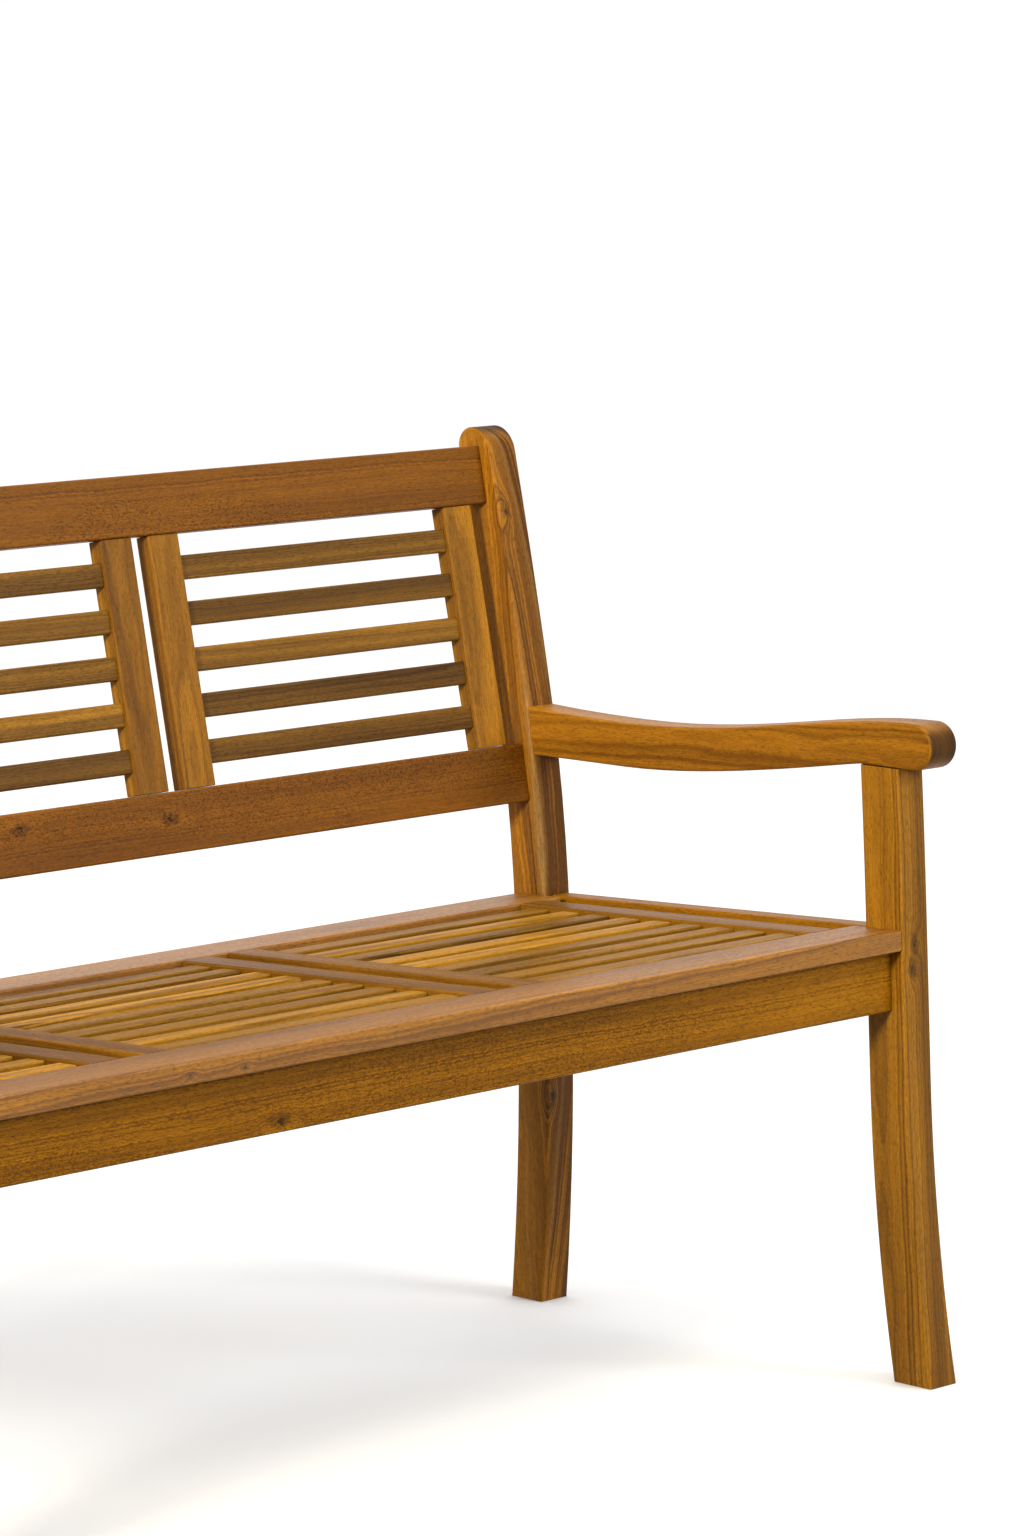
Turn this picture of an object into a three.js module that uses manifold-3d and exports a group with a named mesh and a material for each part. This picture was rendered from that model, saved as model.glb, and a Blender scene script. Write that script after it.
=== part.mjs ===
// Slatted hardwood garden bench for three people, with arms. Millimetres, +Z up.
//
// The bench stands on the plane Z = 0. X runs along the bench and is its mirror axis, -Y is the
// front. Inside this file Y = 0 is the front edge of the seat; the last lines move the whole bench
// so that its origin is the middle of its footprint.
//
// Two side frames (bent rear post, sabre front leg, wavy armrest, side rail) are tied together by
// the seat's front and rear boards, two aprons and the two rails of the back. Cross-bars and slats
// fill the seat in three bays, and three slatted panels fill the back. Each apron and rail is held
// at either end by a bolt that passes through the leg or post into a barrel nut.

import * as THREE from 'three';
import { mergeVertices } from 'three/addons/utils/BufferGeometryUtils.js';
import Module from 'manifold-3d';

const wasm = await Module();
wasm.setup();

// ---- Driving dimensions -------------------------------------------------------------------------

const TOUCH = 0.3;                 // gap left between two pieces that touch
const FRAME_INSIDE = 1422;         // clear width between the two side frames
const FRAME_THICK = 39;            // thickness of posts, legs and arms along X
const BAYS = 3;                    // seat bays, and back panels

const SEAT_HEIGHT = 450;           // top of the seat at its front edge
const SEAT_TILT = 2.5;             // degrees, falling to the rear
const BOARD_THICK = 21;
const FRONT_BOARD_DEPTH = 63.5;
const REAR_BOARD_START = 459.9;
const REAR_BOARD_DEPTH = 63;
const APRON_HEIGHT = 59.6;
const APRON_THICK = 21;
const FRONT_APRON_SETBACK = 14.6;
const REAR_APRON_SETBACK = 487;

const BAR_WIDTH = 34.5;            // cross-bars at both sides of each seat bay
const BAR_GAP = 25.5;              // between two neighbouring bars, and bar to side frame
const SEAT_SLATS = 9;
const SEAT_SLAT_WIDTH = 24;
const SEAT_SLAT_HEIGHT = 16;
const SEAT_SLAT_DROP = 3;          // slat tops lie below the bar tops

const BACK_FOOT = [503, 525.4];    // Y and Z of the lower rail's front bottom edge
const BACK_RECLINE = 11.6;         // degrees
const RAIL_HEIGHT = 60;
const RAIL_THICK = 22;
const RAIL_SPACING = 249.7;        // clear height between the two rails, along the back
const STILE_WIDTH = 40;
const STILE_THICK = 19;
const PANEL_TILT = 0.5;            // degrees that a panel leans back between the rails
const STILE_GAP = 21.3;            // between two neighbouring stiles, and end stile to post
const BACK_SLATS = 5;
const BACK_SLAT_HEIGHT = 24;
const BACK_SLAT_THICK = 10;
const TENON = 8;                   // how far a back slat is let into its stiles

const SIDE_RAIL_THICK = 24;
const SIDE_RAIL_INSET = 12;        // from the inner face of the side frame
const SIDE_RAIL_HEIGHT = 60;
const SIDE_RAIL_DROP = 1;          // below the top of the seat

const POST_DEPTH = 44.6;
const POST_SHOULDER = 876.5;       // height where the post's round crown begins
const CROWN_FRONT = { across: 26.5, along: 30 };       // quarter ellipses, the front one larger
const CROWN_REAR = { across: POST_DEPTH - CROWN_FRONT.across, along: 19 };
const LEG_DEPTH = 48;
const LEG_BEND_END = 300;          // the leg sweeps forward below this height
const ARM_UNDERSIDE = 607.3;       // flat over the leg, as far back as ARM_FLAT_END
const ARM_FLAT_END = 58;
const NOSE_RADIUS = 22.8;          // round front end of the arm
const NOSE_REACH = -35;            // Y of its foremost point
const ARM_DIP = { y: 370, top: 618.6, bottom: 573.2 };  // lowest part of the arm, near the post
const ARM_REAR_TOP = 622.5;        // where the arm's top meets the post

const ROUND_FRAME = 3;             // edge rounding of posts, legs and arms
const ROUND_BOARD = 2.5;
const ROUND_SLAT = 2;
const ROUND_BACK_SLAT = 2.5;

const POST_STEPS = 20;             // straight steps that stand for the curved outlines
const LEG_BEND_STEPS = 12;
const LEG_UPPER_STEPS = 5;
const ARM_STEPS = 14;
const CROWN_STEPS = 20;

const BOLT = {
  shank: 3, head: 6.5, headHeight: 3.6, socket: 2, socketDepth: 2.2,
  hole: 3.5, recess: 7.5, recessDepth: 6, nut: 5, nutLength: 16, nutHole: 5.3, nutInset: 26,
  past: 3, holePast: 6,            // how far the bolt and its hole run on beyond the nut
};

const radians = THREE.MathUtils.degToRad;

// ---- Curved timbers of the side frames ----------------------------------------------------------

// Centre line of a timber that rises from the ground: each stretch climbs to a height while its
// lean (dY/dZ) changes evenly, so a stretch with an unchanged lean is straight.
class Rise {
  constructor(footY, footLean, stretches) {
    this.knots = [{ z: 0, y: footY, lean: footLean }];
    for (const [z, lean] of stretches) {
      const last = this.knots[this.knots.length - 1];
      this.knots.push({ z, y: last.y + (z - last.z) * (last.lean + lean) / 2, lean });
    }
  }

  at(z) {
    let i = 1;
    while (i < this.knots.length - 1 && z > this.knots[i].z) i += 1;
    const [a, b] = [this.knots[i - 1], this.knots[i]];
    const bend = (b.lean - a.lean) / (b.z - a.z);
    const up = z - a.z;
    return { y: a.y + a.lean * up + bend * up * up / 2, lean: a.lean + bend * up };
  }

  // Y of the face that lies `offset` from the centre line, at height z
  face(z, offset) {
    const { y, lean } = this.at(z);
    return y + offset * Math.hypot(1, lean);
  }
}

const post = new Rise(508.7, -0.08, [[438, 0.071], [650, 0.198], [POST_SHOULDER, 0.228]]);
const leg = new Rise(-19, 0.193, [[LEG_BEND_END, 0.045], [450, 0.045], [ARM_UNDERSIDE - TOUCH, 0.065]]);

const postFront = (z) => post.face(z, -POST_DEPTH / 2);
const legBack = (z) => leg.face(z, LEG_DEPTH / 2);

function levels(bottom, top, count) {
  return Array.from({ length: count + 1 }, (_, i) => bottom + (top - bottom) * i / count);
}

// The crown is made of two quarter ellipses that meet on top, square to the post's lean.
function postOutline() {
  const top = post.at(POST_SHOULDER);
  const lean = Math.atan(top.lean);
  const half = POST_DEPTH / 2;
  const shift = half * Math.sin(lean);
  const rearRise = CROWN_FRONT.along - CROWN_REAR.along;
  const front = levels(0, POST_SHOULDER + shift, POST_STEPS)
    .map((z) => new THREE.Vector2(post.face(z, -half), z));
  const back = levels(0, POST_SHOULDER + rearRise * Math.cos(lean) - shift, POST_STEPS)
    .map((z) => new THREE.Vector2(post.face(z, half), z)).reverse();
  const crown = [];
  for (let i = 1; i < CROWN_STEPS; i += 1) {
    const turn = Math.PI * i / CROWN_STEPS;
    const [arc, rise] = turn < Math.PI / 2 ? [CROWN_FRONT, 0] : [CROWN_REAR, rearRise];
    const across = CROWN_FRONT.across - half - arc.across * Math.cos(turn);
    const along = rise + arc.along * Math.sin(turn);
    crown.push(new THREE.Vector2(
      top.y + across * Math.cos(lean) + along * Math.sin(lean),
      POST_SHOULDER - across * Math.sin(lean) + along * Math.cos(lean)));
  }
  return [...back, ...front, ...crown];
}

function legOutline() {
  const top = ARM_UNDERSIDE - TOUCH;
  const upper = levels(LEG_BEND_END, top, LEG_UPPER_STEPS).slice(1);
  const heights = [...levels(0, LEG_BEND_END, LEG_BEND_STEPS), ...upper];
  const front = heights.map((z) => new THREE.Vector2(leg.face(z, -LEG_DEPTH / 2), z));
  const back = heights.map((z) => new THREE.Vector2(leg.face(z, LEG_DEPTH / 2), z)).reverse();
  return [...back, ...front];
}

// The arm rises to a round nose over the front leg and dips towards the post.
function armOutline() {
  const noseY = NOSE_REACH + NOSE_RADIUS;
  const noseZ = ARM_UNDERSIDE + NOSE_RADIUS;
  const { y: dipY, top: dipTop, bottom: dipBottom } = ARM_DIP;
  const under = { dip: 255, flat: 100, flatZ: ARM_UNDERSIDE - 5.5 };
  const over = { nose: 105, dip: 210, rear: 445 };
  const outline = new THREE.Path();
  outline.moveTo(postFront(dipBottom) - TOUCH, dipBottom);
  outline.lineTo(dipY, dipBottom);
  outline.bezierCurveTo(under.dip, dipBottom, under.flat, under.flatZ, ARM_FLAT_END, ARM_UNDERSIDE);
  outline.lineTo(noseY, ARM_UNDERSIDE);
  outline.absarc(noseY, noseZ, NOSE_RADIUS, -Math.PI / 2, Math.PI / 2, true);
  outline.bezierCurveTo(over.nose, noseZ + NOSE_RADIUS, over.dip, dipTop, dipY, dipTop);
  outline.quadraticCurveTo(over.rear, dipTop, postFront(ARM_REAR_TOP) - TOUCH, ARM_REAR_TOP);
  return outline.getPoints(ARM_STEPS);
}

// Top edge follows the seat; both ends are cut to the leg's back and the post's front.
function sideRailOutline() {
  const fall = Math.tan(radians(SEAT_TILT));
  const topAt = (y) => SEAT_HEIGHT - SIDE_RAIL_DROP - fall * y;
  const frontTop = topAt(legBack(SEAT_HEIGHT));
  const rearTop = topAt(postFront(topAt(REAR_APRON_SETBACK)));
  const corner = (y, z) => new THREE.Vector2(y, z);
  return [
    corner(legBack(frontTop) + TOUCH, frontTop),
    corner(legBack(frontTop - SIDE_RAIL_HEIGHT) + TOUCH, frontTop - SIDE_RAIL_HEIGHT),
    corner(postFront(rearTop - SIDE_RAIL_HEIGHT) - TOUCH, rearTop - SIDE_RAIL_HEIGHT),
    corner(postFront(rearTop) - TOUCH, rearTop),
  ];
}

// ---- Geometry helpers ---------------------------------------------------------------------------

const ALONG_X = new THREE.Matrix4().makeBasis(
  new THREE.Vector3(0, 1, 0), new THREE.Vector3(0, 0, 1), new THREE.Vector3(1, 0, 0));

// Side profile in Y and Z, extruded along X from x0 over `thick`, with rounded long edges
function sawnTimber(points, x0, thick, round) {
  const geometry = new THREE.ExtrudeGeometry(new THREE.Shape(points), {
    depth: thick - 2 * round,
    bevelSize: round,
    bevelThickness: round,
    bevelOffset: -round,
    bevelSegments: 2,
  });
  return geometry.translate(0, 0, round).applyMatrix4(ALONG_X).translate(x0, 0, 0);
}

// Section of a straight batten, from a0, b0 to a1, b1, with its four corners rounded
function roundedSection(a0, a1, b0, b1, round) {
  const shape = new THREE.Shape();
  shape.moveTo(a0 + round, b0);
  shape.lineTo(a1 - round, b0);
  shape.absarc(a1 - round, b0 + round, round, -Math.PI / 2, 0, false);
  shape.lineTo(a1, b1 - round);
  shape.absarc(a1 - round, b1 - round, round, 0, Math.PI / 2, false);
  shape.lineTo(a0 + round, b1);
  shape.absarc(a0 + round, b1 - round, round, Math.PI / 2, Math.PI, false);
  shape.lineTo(a0, b0 + round);
  shape.absarc(a0 + round, b0 + round, round, Math.PI, 1.5 * Math.PI, false);
  return shape;
}

function battenAlongX(x, y, z, round) {
  const section = roundedSection(y[0], y[1], z[0], z[1], round);
  const options = { depth: x[1] - x[0], bevelEnabled: false, curveSegments: 1 };
  return new THREE.ExtrudeGeometry(section, options).applyMatrix4(ALONG_X).translate(x[0], 0, 0);
}

const ALONG_Y = new THREE.Matrix4().makeBasis(
  new THREE.Vector3(0, 0, 1), new THREE.Vector3(1, 0, 0), new THREE.Vector3(0, 1, 0));

function battenAlongY(x, y, z, round) {
  const section = roundedSection(z[0], z[1], x[0], x[1], round);
  const options = { depth: y[1] - y[0], bevelEnabled: false, curveSegments: 1 };
  return new THREE.ExtrudeGeometry(section, options).applyMatrix4(ALONG_Y).translate(0, y[0], 0);
}

function battenAlongZ(x, y, z, round) {
  const section = roundedSection(x[0], x[1], y[0], y[1], round);
  const options = { depth: z[1] - z[0], bevelEnabled: false, curveSegments: 1 };
  return new THREE.ExtrudeGeometry(section, options).translate(0, 0, z[0]);
}

function rodAlongX(x0, x1, radius, y, z, sides = 16) {
  const rod = new THREE.CylinderGeometry(radius, radius, x1 - x0, sides);
  return rod.rotateZ(Math.PI / 2).translate((x0 + x1) / 2, y, z);
}

function rodAlongY(x, radius, y0, y1, z, sides = 16) {
  const rod = new THREE.CylinderGeometry(radius, radius, y1 - y0, sides);
  return rod.translate(x, (y0 + y1) / 2, z);
}

function toSolid(geometry) {
  const bare = geometry.clone();
  bare.deleteAttribute('normal');
  bare.deleteAttribute('uv');
  const merged = mergeVertices(bare, 1e-4);
  return new wasm.Manifold(new wasm.Mesh({
    numProp: 3,
    vertProperties: new Float32Array(merged.attributes.position.array),
    triVerts: new Uint32Array(merged.index.array),
  }));
}

function toGeometry(solid) {
  const mesh = solid.getMesh();
  const geometry = new THREE.BufferGeometry();
  geometry.setAttribute('position', new THREE.BufferAttribute(mesh.vertProperties, 3));
  geometry.setIndex(new THREE.BufferAttribute(mesh.triVerts, 1));
  return geometry;
}

function drilled(geometry, cutters) {
  let solid = toSolid(geometry);
  for (const cutter of cutters) solid = solid.subtract(toSolid(cutter));
  return toGeometry(solid);
}

function joined(geometries) {
  let solid = toSolid(geometries[0]);
  for (const next of geometries.slice(1)) solid = solid.add(toSolid(next));
  return toGeometry(solid);
}

// ---- Materials ----------------------------------------------------------------------------------

const OIL_TONES = ['#b9762f', '#a8682b', '#c08238', '#9c5f2a', '#b57034', '#c58a45'];
let toneTurn = 0;

function oiledWood() {
  const color = OIL_TONES[toneTurn % OIL_TONES.length];
  toneTurn += 1;
  return new THREE.MeshStandardMaterial({ color, roughness: 0.55, metalness: 0 });
}

function zincSteel() {
  return new THREE.MeshStandardMaterial({ color: '#b9bcc0', roughness: 0.35, metalness: 1 });
}

function addPiece(parent, name, geometry, material = oiledWood()) {
  const mesh = new THREE.Mesh(geometry, material);
  mesh.name = name;
  parent.add(mesh);
}

// ---- Groups: seat and back are built square in their own tilted frames --------------------------

const SIDES = [['left', -1], ['right', 1]];
const BAY_NAMES = ['left', 'middle', 'right'];
const HALF = FRAME_INSIDE / 2;
const REACH = [-HALF + TOUCH, HALF - TOUCH];

const bench = new THREE.Group();

const seat = new THREE.Group();
seat.position.set(0, 0, SEAT_HEIGHT);
seat.rotation.x = -radians(SEAT_TILT);
bench.add(seat);

const back = new THREE.Group();
back.position.set(0, BACK_FOOT[0], BACK_FOOT[1]);
back.rotation.x = -radians(BACK_RECLINE);
bench.add(back);

// The panels turn about the middle of the height between the rails
const panels = new THREE.Group();
panels.position.set(0, RAIL_THICK / 2, RAIL_HEIGHT + RAIL_SPACING / 2);
panels.rotation.x = -radians(PANEL_TILT);
back.add(panels);

// Splits the width between the side frames into equal bays, with a gap before and after each
function bays(gap) {
  const width = (FRAME_INSIDE - (BAYS + 1) * gap) / BAYS;
  return BAY_NAMES.map((name, i) => {
    const start = -HALF + gap + i * (width + gap);
    return { name, start, end: start + width };
  });
}

// ---- Bolted joints ------------------------------------------------------------------------------

// Each entry: the piece it holds, its group, and the bolt's Y and Z in that group's own frame.
// The barrel nut lies across the piece, its hole open at the back face.
const APRON_BOLT_Z = -BOARD_THICK - TOUCH - APRON_HEIGHT / 2;
const joints = [
  { name: 'front_apron', group: seat, y: FRONT_APRON_SETBACK + APRON_THICK / 2, z: APRON_BOLT_Z,
    backFace: FRONT_APRON_SETBACK + APRON_THICK, timber: 'leg' },
  { name: 'rear_apron', group: seat, y: REAR_APRON_SETBACK + APRON_THICK / 2, z: APRON_BOLT_Z,
    backFace: REAR_APRON_SETBACK + APRON_THICK, timber: 'post' },
  { name: 'lower_rail', group: back, y: RAIL_THICK / 2, z: RAIL_HEIGHT / 2,
    backFace: RAIL_THICK, timber: 'post' },
  { name: 'top_rail', group: back, y: RAIL_THICK / 2, z: RAIL_HEIGHT * 1.5 + RAIL_SPACING,
    backFace: RAIL_THICK, timber: 'post' },
];

// Holes in the end of an apron or rail: one along the bolt, one across it for the barrel nut
function memberCutters(joint) {
  const { y, z, backFace } = joint;
  const depth = BOLT.nutInset + BOLT.nut + BOLT.holePast;
  return SIDES.flatMap(([, side]) => {
    const ends = [side * (HALF + 1), side * (HALF - depth)].sort((a, b) => a - b);
    const nutX = side * (HALF - BOLT.nutInset);
    return [
      rodAlongX(ends[0], ends[1], BOLT.hole, y, z, 12),
      rodAlongY(nutX, BOLT.nutHole, y - BOLT.nutLength / 2 - TOUCH, backFace + 1, z),
    ];
  });
}

// Clearance hole and head recess through a leg or post, in the bench's frame
function timberCutters(timber, side) {
  return joints.filter((joint) => joint.timber === timber).flatMap((joint) => {
    joint.group.updateMatrix();
    const centre = new THREE.Vector3(0, joint.y, joint.z).applyMatrix4(joint.group.matrix);
    const outer = HALF + FRAME_THICK;
    const through = [side * (HALF - 1), side * (outer + 1)].sort((a, b) => a - b);
    const recess = [side * (outer - BOLT.recessDepth), side * (outer + 1)].sort((a, b) => a - b);
    return [
      rodAlongX(through[0], through[1], BOLT.hole, centre.y, centre.z, 12),
      rodAlongX(recess[0], recess[1], BOLT.recess, centre.y, centre.z),
    ];
  });
}

// A socket-head bolt screwed into its barrel nut, as one solid
function boltGeometry(joint, side) {
  const seatX = HALF + FRAME_THICK - BOLT.recessDepth + TOUCH;
  const headX = seatX + BOLT.headHeight;
  const tipX = HALF - BOLT.nutInset - BOLT.nut - BOLT.past;
  const across = (a, b) => [side * a, side * b].sort((p, q) => p - q);
  const shank = across(tipX, seatX + 1);
  const head = across(seatX, headX);
  const socket = across(headX - BOLT.socketDepth, headX + 1);
  const { y, z } = joint;
  const nutX = side * (HALF - BOLT.nutInset);
  const nutEnds = [y - BOLT.nutLength / 2, y + BOLT.nutLength / 2];
  const body = joined([
    rodAlongX(shank[0], shank[1], BOLT.shank, y, z, 12),
    rodAlongX(head[0], head[1], BOLT.head, y, z),
    rodAlongY(nutX, BOLT.nut, nutEnds[0], nutEnds[1], z, 12),
  ]);
  return drilled(body, [rodAlongX(socket[0], socket[1], BOLT.socket, y, z, 6)]);
}

// ---- Side frames --------------------------------------------------------------------------------

function addSideFrame(label, side) {
  const x0 = side > 0 ? HALF : -HALF - FRAME_THICK;
  const railX = side > 0 ? HALF + SIDE_RAIL_INSET : -HALF - SIDE_RAIL_INSET - SIDE_RAIL_THICK;
  const plainPost = sawnTimber(postOutline(), x0, FRAME_THICK, ROUND_FRAME);
  const plainLeg = sawnTimber(legOutline(), x0, FRAME_THICK, ROUND_FRAME);
  addPiece(bench, `rear_post_${label}`, drilled(plainPost, timberCutters('post', side)));
  addPiece(bench, `front_leg_${label}`, drilled(plainLeg, timberCutters('leg', side)));
  addPiece(bench, `armrest_${label}`, sawnTimber(armOutline(), x0, FRAME_THICK, ROUND_FRAME));
  addPiece(bench, `side_rail_${label}`,
    sawnTimber(sideRailOutline(), railX, SIDE_RAIL_THICK, ROUND_BOARD));
}

// ---- Seat ---------------------------------------------------------------------------------------

function addSeatBoards() {
  const thick = [-BOARD_THICK, 0];
  const rear = [REAR_BOARD_START, REAR_BOARD_START + REAR_BOARD_DEPTH];
  addPiece(seat, 'seat_front_board', battenAlongX(REACH, [0, FRONT_BOARD_DEPTH], thick, ROUND_BOARD));
  addPiece(seat, 'seat_rear_board', battenAlongX(REACH, rear, thick, ROUND_BOARD));
}

function addAprons() {
  const height = [-BOARD_THICK - TOUCH - APRON_HEIGHT, -BOARD_THICK - TOUCH];
  const setbacks = [FRONT_APRON_SETBACK, REAR_APRON_SETBACK];
  setbacks.forEach((setback, i) => {
    const plain = battenAlongX(REACH, [setback, setback + APRON_THICK], height, ROUND_BOARD);
    addPiece(seat, joints[i].name, drilled(plain, memberCutters(joints[i])));
  });
}

function addSeatBay(bay, index) {
  const run = [FRONT_BOARD_DEPTH + TOUCH, REAR_BOARD_START - TOUCH];
  const barTop = [-BOARD_THICK, 0];
  const bars = [[bay.start, bay.start + BAR_WIDTH], [bay.end - BAR_WIDTH, bay.end]];
  bars.forEach((x, i) => {
    addPiece(seat, `seat_bar_${2 * index + i + 1}`, battenAlongY(x, run, barTop, ROUND_BOARD));
  });
  const free = REAR_BOARD_START - FRONT_BOARD_DEPTH - SEAT_SLATS * SEAT_SLAT_WIDTH;
  const gap = free / (SEAT_SLATS + 1);
  const x = [bay.start + BAR_WIDTH + TOUCH, bay.end - BAR_WIDTH - TOUCH];
  const z = [-SEAT_SLAT_DROP - SEAT_SLAT_HEIGHT, -SEAT_SLAT_DROP];
  for (let i = 0; i < SEAT_SLATS; i += 1) {
    const y0 = FRONT_BOARD_DEPTH + gap + i * (SEAT_SLAT_WIDTH + gap);
    const slat = battenAlongX(x, [y0, y0 + SEAT_SLAT_WIDTH], z, ROUND_SLAT);
    addPiece(seat, `seat_slat_${bay.name}_${i + 1}`, slat);
  }
}

// ---- Back ---------------------------------------------------------------------------------------

function addBackRails() {
  const feet = { lower_rail: 0, top_rail: RAIL_HEIGHT + RAIL_SPACING };
  for (const joint of joints.filter((entry) => entry.group === back)) {
    const z = [feet[joint.name], feet[joint.name] + RAIL_HEIGHT];
    const plain = battenAlongX(REACH, [0, RAIL_THICK], z, ROUND_BOARD);
    addPiece(back, `back_${joint.name}`, drilled(plain, memberCutters(joint)));
  }
}

// Two stiles and five slats, glued into one ladder-like panel, centred on its group
function addBackPanel(bay) {
  const z = [TOUCH - RAIL_SPACING / 2, RAIL_SPACING / 2 - TOUCH];
  const stileY = [-STILE_THICK / 2, STILE_THICK / 2];
  const slatY = [-BACK_SLAT_THICK / 2, BACK_SLAT_THICK / 2];
  const pieces = [
    battenAlongZ([bay.start, bay.start + STILE_WIDTH], stileY, z, ROUND_BOARD),
    battenAlongZ([bay.end - STILE_WIDTH, bay.end], stileY, z, ROUND_BOARD),
  ];
  const gap = (RAIL_SPACING - BACK_SLATS * BACK_SLAT_HEIGHT) / (BACK_SLATS + 1);
  const x = [bay.start + STILE_WIDTH - TENON, bay.end - STILE_WIDTH + TENON];
  for (let i = 0; i < BACK_SLATS; i += 1) {
    const z0 = gap - RAIL_SPACING / 2 + i * (BACK_SLAT_HEIGHT + gap);
    pieces.push(battenAlongX(x, slatY, [z0, z0 + BACK_SLAT_HEIGHT], ROUND_BACK_SLAT));
  }
  addPiece(panels, `back_panel_${bay.name}`, joined(pieces));
}

// ---- Assembly -----------------------------------------------------------------------------------

for (const [label, side] of SIDES) addSideFrame(label, side);
addSeatBoards();
addAprons();
bays(BAR_GAP).forEach(addSeatBay);
addBackRails();
bays(STILE_GAP).forEach(addBackPanel);
for (const joint of joints) {
  for (const [label, side] of SIDES) {
    addPiece(joint.group, `bolt_${joint.name}_${label}`, boltGeometry(joint, side), zincSteel());
  }
}

// The origin is under the middle of the bench's outline
bench.updateMatrixWorld(true);
const outline = new THREE.Box3().setFromObject(bench, true);
bench.position.y = -(outline.min.y + outline.max.y) / 2;

export default bench;
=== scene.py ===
import math
import random

import bmesh
import bpy
from mathutils import Matrix, Vector


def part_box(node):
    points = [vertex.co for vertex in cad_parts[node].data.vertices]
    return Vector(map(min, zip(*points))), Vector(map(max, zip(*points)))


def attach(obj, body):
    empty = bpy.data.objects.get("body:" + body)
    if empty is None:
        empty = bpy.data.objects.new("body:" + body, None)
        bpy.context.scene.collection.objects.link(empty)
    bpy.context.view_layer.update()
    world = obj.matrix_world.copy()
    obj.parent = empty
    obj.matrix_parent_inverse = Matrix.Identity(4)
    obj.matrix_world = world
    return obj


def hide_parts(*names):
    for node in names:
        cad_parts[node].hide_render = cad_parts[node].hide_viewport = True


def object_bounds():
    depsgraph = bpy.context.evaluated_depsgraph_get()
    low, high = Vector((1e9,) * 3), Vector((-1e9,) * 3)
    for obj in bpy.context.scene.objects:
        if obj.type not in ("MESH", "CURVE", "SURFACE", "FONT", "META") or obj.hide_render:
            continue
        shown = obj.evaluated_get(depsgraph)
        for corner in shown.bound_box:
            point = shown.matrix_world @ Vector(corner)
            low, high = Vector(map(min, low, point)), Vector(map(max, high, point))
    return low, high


# Slatted garden bench of oiled acacia. Metres, +Z up, -Y is the front.
#
# Each timber is a fine mesh of its own that stands for its CAD node, or for a piece of it. A timber
# has its own axes: X along its grain, Y across its width and Z through its thickness. One wood
# material works in those axes, so it cuts growth rings, pores and end grain the right way on every
# face. The turn of the axes is moved into the mesh and told to the wood.

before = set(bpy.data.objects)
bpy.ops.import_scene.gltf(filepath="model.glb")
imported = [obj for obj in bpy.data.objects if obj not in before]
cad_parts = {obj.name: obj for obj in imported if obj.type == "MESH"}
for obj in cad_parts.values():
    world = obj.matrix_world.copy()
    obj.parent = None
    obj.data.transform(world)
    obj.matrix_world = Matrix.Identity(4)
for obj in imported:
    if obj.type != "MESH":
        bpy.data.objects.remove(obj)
cad_low, cad_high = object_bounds()

MM = 0.001

# ---- Sizes that the CAD boxes don't give --------------------------------------------------------

SEAT_TILT = 2.5                    # degrees, falling to the rear
BACK_RECLINE = 11.6
PANEL_TILT = 0.5                   # of the back panels, more than the rails
POST_LEAN = 7.0                    # of the plank's grain, degrees from upright
LEG_LEAN = 4.5
ARM_LEAN = 3.0                     # degrees from level, rising to the front
FRAME_ROUND = 3 * MM               # rounding of the long edges of posts, legs and arms
BOARD_ROUND = 2.5 * MM
SLAT_ROUND = 2 * MM
BACK_SLAT_ROUND = 2.5 * MM
END_ARRIS = 0.8 * MM               # edges of sawn ends, only broken with sandpaper
ROUND_WANDER = 0.18                # share by which hand sanding varies the rounding
ROUND_STEPS = 5
CREASE = 40                        # degrees; edges sharper than this stay sharp in the shading
CORNER = 30                        # degrees; a profile that turns more than this has a corner there
BATTEN_SPAN = 60 * MM              # between the rings of points along a batten

SEAT_SLATS = 9                     # in each bay
STILE_WIDTH = 40 * MM
BACK_SLAT_HEIGHT = 24 * MM
BACK_SLAT_THICK = 10 * MM
SLAT_LET_IN = 4 * MM               # how far a back slat runs into the mortise of its stile

# Bolts: a socket head in a round recess, and a barrel nut across the timber that it holds
HEAD_RADIUS = 6.5 * MM
HEAD_HEIGHT = 3.6 * MM
HEAD_RECESS = 7.5 * MM
SHANK_RADIUS = 3 * MM
SOCKET_RADIUS = 2.3 * MM
SOCKET_DEPTH = 2.2 * MM
HEAD_EDGE = 0.6 * MM               # rounding of the edges of head and tip
NUT_RADIUS = 5 * MM
NUT_HOLE = 5.3 * MM
NUT_LENGTH = 16 * MM
NUT_EDGE = 0.5 * MM
NUT_FROM_TIP = 8 * MM              # from the bolt's tip to the middle of its nut
SLOT_WIDTH = 1.4 * MM              # screwdriver slot in the end of the nut
SLOT_DEPTH = 1.2 * MM

BAYS = ("left", "middle", "right")

SEAT = Matrix.Rotation(math.radians(-SEAT_TILT), 3, "X")
BACK = Matrix.Rotation(math.radians(-BACK_RECLINE), 3, "X")
PANEL = Matrix.Rotation(math.radians(-BACK_RECLINE - PANEL_TILT), 3, "X")

# Columns: the timber's own X, Y and Z in the axes of the group that it belongs to
GRAIN = {
    "X": Matrix(((1, 0, 0), (0, 1, 0), (0, 0, 1))),
    "Y": Matrix(((0, -1, 0), (1, 0, 0), (0, 0, 1))),
    "Z": Matrix(((0, 1, 0), (0, 0, 1), (1, 0, 0))),
}


# ---- Wood ---------------------------------------------------------------------------------------


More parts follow.
